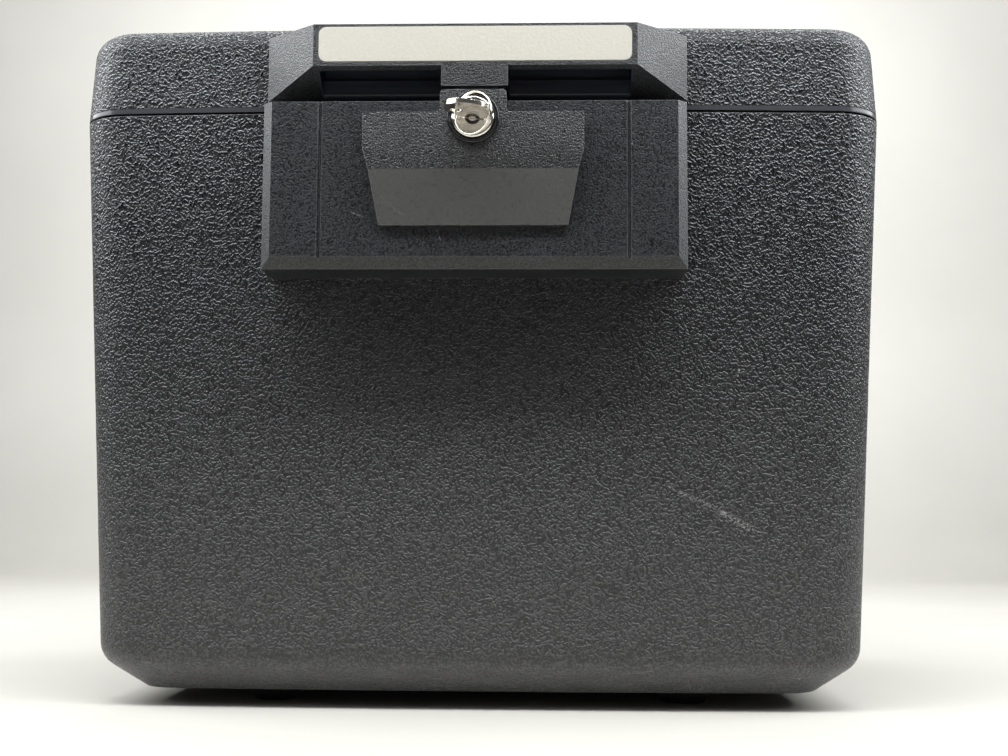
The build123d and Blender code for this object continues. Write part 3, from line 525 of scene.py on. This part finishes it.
def housing_plastic(name, cell, depth, colour, rough, strokes=(), facet_below=None, pocket_box=None):
    """Charcoal plastic with a fine spark-eroded grain and painted highlights along its edges. It can have a
    smoother face below a height, dusty and paler with a painted floor reflection, and glossy pockets inside
    a box."""
    kit = new_material(name)
    where = place(kit)
    speck = remap(kit, noise(kit, where, 1.0 / cell), SPECK_ENDS, smooth=True)
    grain = speck
    patches = mottle(kit, where, HOUSING_PATCHES, roughness=0.6)
    base = mix_colour(kit, patches, *(shade(colour, share) for share in PALE_SHARES))
    gloss = mottle(kit, where, HOUSING_GLOSS_PATCHES, detail=2.0, values=rough)
    if facet_below is not None:
        # Lower face: dusty, and paler with a painted floor reflection
        above = remap(kit, parts_of(kit, where)[2], (facet_below - FACET_FADE, facet_below))
        grain = times(kit, speck, blend(kit, above, FACET_GRAIN, 1.0))
        base = mix_colour(kit, above, FACET_DUST_AND_REFLECTION, base)
        speck = calc(kit, "MAXIMUM", speck, calc(kit, "SUBTRACT", FACET_SPECKS, above))
    base = mix_colour(kit, speck, shade(colour, PIT_SHARE), base)
    # Painted highlight along the edges
    base = mix_colour(kit, edge_mask(kit, soft_edges(kit, PAINTED_EDGE_REACH)), base, PAINTED_EDGE_HIGHLIGHT)
    if pocket_box is not None:
        pocket = box_mask(kit, where, *pocket_box, POCKET_FADE)
        base = mix_colour(kit, pocket, base, POCKET_COLOUR)
        gloss = times(kit, gloss, blend(kit, pocket, 1.0, POCKET_GLOSS))
        grain = times(kit, grain, blend(kit, pocket, 1.0, 0.0))
    if strokes:
        base = mix_colour(kit, scratch_mask(kit, where, strokes), base, HOUSING_MARK_COLOUR)
    to_shader(kit, "Base Color", base)
    to_shader(kit, "Roughness", gloss)
    to_shader(kit, "Normal", relief(kit, grain, depth))
    return kit.material


def plain_plastic(name, colour, rough):
    """Smooth moulded plastic with faint flow marks."""
    kit = new_material(name)
    where = place(kit)
    flow = mottle(kit, where, FLOW_PATCHES)
    ripple = noise(kit, where, RIPPLES)
    to_shader(kit, "Base Color", mix_colour(kit, flow, colour, shade(colour, FLOW_SHARE)))
    to_shader(kit, "Roughness", blend(kit, flow, rough - FLOW_ROUGH_BELOW, rough + FLOW_ROUGH_ABOVE))
    to_shader(kit, "Normal", relief(kit, ripple, RIPPLE_DEPTH, soft_edges(kit, PLASTIC_EDGE)))
    return kit.material


def bright_metal(name, colour, rough, brush_scale=None):
    """Plated metal with fine handling marks, and brushing where a scale is given."""
    kit = new_material(name)
    where = place(kit)
    smudge = mottle(kit, where, SMUDGES, roughness=0.6, ends=SMUDGE_ENDS)
    source = stretched(kit, where, brush_scale) if brush_scale else where
    marks = noise(kit, source, HAIRLINES, roughness=0.6)
    kit.shader.inputs["Metallic"].default_value = 1.0
    to_shader(kit, "Base Color", mix_colour(kit, smudge, colour, shade(colour, SMUDGE_SHARE)))
    to_shader(kit, "Roughness", blend(kit, smudge, rough, rough + SMUDGE_ROUGH))
    to_shader(kit, "Normal", relief(kit, marks, HAIRLINE_DEPTH, soft_edges(kit, METAL_EDGE)))
    return kit.material


def silver_plate(name):
    """Warm silver printed plate, bare, with a faint paper-like mottling."""
    kit = new_material(name)
    fibres = mottle(kit, place(kit), PLATE_FIBRES, roughness=0.6)
    kit.shader.inputs["Metallic"].default_value = PLATE_METALLIC
    to_shader(kit, "Base Color", mix_colour(kit, fibres, *PLATE_COLOURS))
    to_shader(kit, "Roughness", remap(kit, fibres, (0.0, 1.0), PLATE_ROUGH))
    to_shader(kit, "Normal", relief(kit, fibres, PLATE_DEPTH, soft_edges(kit, METAL_EDGE)))
    return kit.material


def rubber(name):
    kit = new_material(name)
    speck = mottle(kit, place(kit), RUBBER_SPECKS, detail=2.0)
    to_shader(kit, "Base Color", mix_colour(kit, speck, *RUBBER_COLOURS))
    to_shader(kit, "Roughness", remap(kit, speck, (0.0, 1.0), RUBBER_ROUGH))
    to_shader(kit, "Normal", relief(kit, speck, RUBBER_DEPTH))
    return kit.material


def cement(name, sealed_from):
    """Porous fire filling, with a dark sealing coat above a height."""
    kit = new_material(name)
    where = place(kit)
    cells = add(kit, "ShaderNodeTexVoronoi", Scale=PORES)
    link(kit, where, cells.inputs["Vector"])
    pores = remap(kit, cells.outputs["Distance"], PORE_ENDS)
    sealed = remap(kit, parts_of(kit, where)[2], (sealed_from - SEAL_FADE, sealed_from))
    raw = mix_colour(kit, pores, *FILLING_COLOURS)
    coat = mix_colour(kit, pores, *SEAL_COLOURS)
    to_shader(kit, "Base Color", mix_colour(kit, sealed, raw, coat))
    to_shader(kit, "Roughness", blend(kit, sealed, BARE_ROUGH, SEALED_ROUGH))
    to_shader(kit, "Normal", relief(kit, pores, PORE_DEPTH))
    return kit.material


# Dressing the nodes of the model


def dress(name, material):
    """Gives a node of the model its material."""
    slots = NODES[name].data.materials
    slots.clear()
    slots.append(material)


def finger_recesses():
    """Low and high corner of the box round the two finger recesses under the handle."""
    low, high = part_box("handle_housing")
    half = PLATE_HALF + POCKET_BESIDE_PLATE
    return ((-half, low.y + POCKET_BEHIND_HANDLE, low.z),
            (half, FRONT_Y + POCKET_INTO_LID, high.z - POCKET_BELOW_HANDLE))


def dress_plastics():
    dress("body_shell", shell_plastic("body_grain", NO_BAND, BODY_MARKS))
    dress("lid_shell", shell_plastic("lid_grain", LID_BAND))
    dress("latch_housing", housing_plastic("panel_grain", **PANEL, strokes=PANEL_MARKS))
    dress("handle_housing", housing_plastic("handle_grain", **HANDLE, pocket_box=finger_recesses()))
    dress("latch_lever", housing_plastic("lever_grain", **LEVER, strokes=LEVER_MARKS, facet_below=FACET_TOP))
    dress("lock_collar", plain_plastic("collar_gloss", colour=(0.006, 0.006, 0.007), rough=0.18))
    liner = plain_plastic("liner_smooth", colour=(0.030, 0.030, 0.032), rough=0.42)
    filling = cement("filling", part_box("body_insulation")[1].z - SEAL_DEPTH)
    for half in ("body", "lid"):
        dress(f"{half}_liner", liner)
        dress(f"{half}_insulation", filling)


def dress_the_rest():
    foot = rubber("foot_rubber_look")
    dress("nameplate", silver_plate("plate_silver_look"))
    chrome = bright_metal("lock_chrome_look", colour=(0.90, 0.87, 0.81), rough=0.10)
    nickel = bright_metal("key_nickel_look", colour=(0.88, 0.83, 0.74), rough=0.13)
    zinc = bright_metal("zinc_look", colour=(0.55, 0.55, 0.56), rough=0.32, brush_scale=(1.0, 1.0, 0.15))
    dark = bright_metal("screw_look", colour=(0.22, 0.22, 0.23), rough=0.35)
    for name in NODES:
        if name.startswith("foot_") and name != "foot_screws":
            dress(name, foot)
        elif "screw" in name:
            dress(name, dark)
        elif name in ("lock_barrel", "lock_plug"):
            dress(name, chrome)
        elif name in ("key", "key_ring"):
            dress(name, nickel)
        elif name.startswith("hinge") or name in ZINC_NODES:
            dress(name, zinc)


def round_edges(name):
    """Small rounded edges on a moulding, as a real mould leaves them."""
    node = NODES[name]
    weld = node.modifiers.new("weld", "WELD")
    weld.merge_threshold = WELD_REACH
    bevel = node.modifiers.new("rounding", "BEVEL")
    bevel.width = ROUND_WIDTH
    bevel.segments = ROUND_SEGMENTS
    bevel.limit_method = "ANGLE"
    bevel.angle_limit = math.radians(ROUND_FROM)
    normals = node.modifiers.new("normals", "WEIGHTED_NORMAL")
    normals.keep_sharp = False


# Pieces of the scene's own


def finish_mesh(name, mesh):
    """Object made of a mesh that has been built, with its faces turned outwards."""
    bmesh.ops.recalc_face_normals(mesh, faces=mesh.faces)
    data = bpy.data.meshes.new(name)
    mesh.to_mesh(data)
    mesh.free()
    piece = bpy.data.objects.new(name, data)
    bpy.context.scene.collection.objects.link(piece)
    return piece


def tube(name, points, across, radius):
    """Closed tube about a line of points; across gives its two directions at each point."""
    mesh = bmesh.new()
    angles = [math.tau * i / RING_SIDES for i in range(RING_SIDES)]
    loops = []
    for point, (first, second) in zip(points, across):
        spokes = [first * math.cos(a) + second * math.sin(a) for a in angles]
        loops.append([mesh.verts.new(point + radius * spoke) for spoke in spokes])
    for one, two in zip(loops, loops[1:]):
        for i in range(RING_SIDES):
            after = (i + 1) % RING_SIDES
            mesh.faces.new((one[i], one[after], two[after], two[i]))
    mesh.faces.new(loops[0][::-1])
    mesh.faces.new(loops[-1])
    return finish_mesh(name, mesh)


def make_split_ring(material):
    """Key ring of two thin turns side by side, which cross over at one place, in the solid ring's room."""
    low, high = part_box("key_ring")
    centre = (low + high) / 2
    radius = (high.z - low.z) / 2 - RING_WIRE
    swing = next(j for j in frame["record"]["behaviour"]["joints"] if j["name"] == "ring_swing")
    along = Vector(swing["axis"]).normalized()
    upright = Vector((0.0, 0.0, 1.0))
    normal = along.cross(upright)
    wire = RING_WIRE / 2
    points, across = [], []
    for step in range(RING_TURNS * RING_STEPS - RING_GAP_STEPS):
        part = step / RING_STEPS
        angle = math.tau * part + math.radians(RING_START)
        shift = min(max((part - 1.0) / RING_CROSSING, -1.0), 1.0) * wire
        outward = along * math.cos(angle) + upright * math.sin(angle)
        points.append(centre + outward * radius + normal * shift)
        across.append((outward, normal))
    ring = tube("split_ring", points, across, wire * WIRE_SHARE)
    for face in ring.data.polygons:
        face.use_smooth = True
    ring.data.materials.append(material)
    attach(ring, "ring")
    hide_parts("key_ring")


def make_keyway_painted_shade(material):
    """Two dark crescents on the face of the plug, above and below the key's slot: painted shade of the
    countersunk key entry, set proud of the face.
    """
    plug_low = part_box("lock_plug")[0]
    barrel_low, barrel_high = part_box("lock_barrel")
    centre = Vector(((barrel_low.x + barrel_high.x) / 2, plug_low.y, (barrel_low.z + barrel_high.z) / 2))
    tilt = math.radians(KEY_TILT)
    right = Vector((math.cos(tilt), 0.0, -math.sin(tilt)))
    upward = Vector((math.sin(tilt), 0.0, math.cos(tilt)))
    section = ((SHADE_CRESCENT_INNER, 0.0), (SHADE_CRESCENT_INNER, SHADE_CRESCENT_PROUD), (SHADE_CRESCENT_OUTER, SHADE_CRESCENT_PROUD), (SHADE_CRESCENT_OUTER, 0.0))
    mesh = bmesh.new()
    for side in (-1, 1):
        rows = []
        for radius, proud in section:
            start = math.asin(SLOT_KEEP / radius)
            face = centre + Vector((0.0, -proud, 0.0))
            row = []
            for step in range(SHADE_CRESCENT_STEPS + 1):
                angle = start + (math.pi - 2 * start) * step / SHADE_CRESCENT_STEPS
                spoke = right * radius * math.cos(angle) + upward * side * radius * math.sin(angle)
                row.append(mesh.verts.new(face + spoke))
            rows.append(row)
        for one, two in zip(rows, rows[1:]):
            for i in range(SHADE_CRESCENT_STEPS):
                mesh.faces.new((one[i], one[i + 1], two[i + 1], two[i]))
        for end in (0, -1):
            mesh.faces.new([row[end] for row in rows])
    shade_crescents = finish_mesh("keyway_painted_shade", mesh)
    shade_crescents.data.materials.append(material)
    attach(shade_crescents, "plug")


# Studio


def cloth():
    """Pale cloth, darker on the floor than on the wall."""
    kit = new_material("tent_cloth")
    where = place(kit)
    soft = mottle(kit, where, CLOTH_PATCHES)
    wall = mix_colour(kit, soft, *WALL_CLOTH)
    floor = mix_colour(kit, soft, *FLOOR_CLOTH)
    rise = remap(kit, parts_of(kit, where)[2], FLOOR_TO_WALL, smooth=True)
    to_shader(kit, "Base Color", mix_colour(kit, rise, floor, wall))
    kit.shader.inputs["Roughness"].default_value = CLOTH_ROUGHNESS
    kit.shader.inputs["Specular IOR Level"].default_value = CLOTH_SPECULAR
    return kit.material


def make_tent():
    """Floor that bends up into the back wall."""
    rows = [(TENT_FRONT, 0.0)]
    for step in range(TENT_BEND_STEPS + 1):
        angle = math.radians(90.0 * step / TENT_BEND_STEPS)
        ahead = TENT_BACK - TENT_BEND + TENT_BEND * math.sin(angle)
        rows.append((ahead, TENT_BEND * (1 - math.cos(angle))))
    rows.append((TENT_BACK, TENT_TOP))
    mesh = bmesh.new()
    edges = (-TENT_HALF_WIDTH, TENT_HALF_WIDTH)
    lines = [[mesh.verts.new((x, y, z)) for x in edges] for y, z in rows]
    for first, second in zip(lines, lines[1:]):
        mesh.faces.new((first[0], first[1], second[1], second[0]))
    data = bpy.data.meshes.new("tent")
    mesh.to_mesh(data)
    mesh.free()
    data.polygons.foreach_set("use_smooth", [True] * len(data.polygons))
    data.materials.append(cloth())
    tent = bpy.data.objects.new("tent", data)
    bpy.context.scene.collection.objects.link(tent)


def make_light(name, stand, aim, size, power):
    """Rectangular soft light that looks at its aim."""
    data = bpy.data.lights.new(name, "AREA")
    data.shape = "RECTANGLE"
    data.size, data.size_y = size
    data.energy = power
    data.color = LIGHT_COLOUR
    light = bpy.data.objects.new(name, data)
    light.location = stand
    direction = Vector(aim) - Vector(stand)
    light.rotation_euler = direction.to_track_quat("-Z", "Y").to_euler()
    bpy.context.scene.collection.objects.link(light)


def make_lights():
    """A strip over the front, a soft roof, a soft wall on each side and a wash on the backdrop."""
    strip_y = FRONT_Y - STRIP_AHEAD
    make_light("strip_front", (0.0, strip_y, STRIP_HEIGHT), (0.0, strip_y + STRIP_LEAN, 0.0),
               STRIP_SIZE, STRIP_POWER)
    make_light("roof", ROOF_PLACE, ROOF_AIM, ROOF_SIZE, ROOF_POWER)
    wall_y = CASE_MIDDLE_Y - WALL_AHEAD
    for side, name in ((-1, "wall_left"), (1, "wall_right")):
        make_light(name, (side * WALL_OUT, wall_y, WALL_HEIGHT), (0.0, wall_y, WALL_AIM_HEIGHT),
                   WALL_SIZE, WALL_POWER)
    make_light("backdrop_wash", WASH_PLACE, WASH_AIM, WASH_SIZE, WASH_POWER)


def make_air():
    """Faint even light from all sides."""
    world = bpy.data.worlds.new("tent_air")
    world.use_nodes = True
    background = world.node_tree.nodes["Background"]
    background.inputs[0].default_value = (*AIR_COLOUR, 1.0)
    background.inputs[1].default_value = AIR_STRENGTH
    bpy.context.scene.world = world


def make_camera():
    yaw, pitch, roll = (math.radians(angle) for angle in (CAMERA_YAW, CAMERA_PITCH, CAMERA_ROLL))
    ahead = Vector((math.sin(yaw) * math.cos(pitch), math.cos(yaw) * math.cos(pitch), math.sin(pitch)))
    level = Vector((math.cos(yaw), -math.sin(yaw), 0.0))
    upward = level.cross(ahead)
    side = level * math.cos(roll) + upward * math.sin(roll)
    top = upward * math.cos(roll) - level * math.sin(roll)
    data = bpy.data.cameras.new("camera")
    data.sensor_width = SENSOR_MM
    data.lens = FOCAL_PIXELS * SENSOR_MM / IMAGE_WIDTH
    data.clip_start = CLIP_START
    camera = bpy.data.objects.new("camera", data)
    turn = Matrix((side, top, -ahead)).transposed()
    stand = Matrix.Translation((CAMERA_RIGHT, FRONT_Y - CAMERA_AHEAD, CAMERA_HEIGHT))
    camera.matrix_world = stand @ turn.to_4x4()
    bpy.context.scene.collection.objects.link(camera)
    bpy.context.scene.camera = camera


make_camera()
make_tent()
make_lights()
make_air()
dress_plastics()
dress_the_rest()
for name in ROUNDED_NODES:
    round_edges(name)
make_split_ring(NODES["key"].data.materials[0])
make_keyway_painted_shade(NODES["lock_collar"].data.materials[0])
bpy.context.scene.view_settings.view_transform = "Standard"
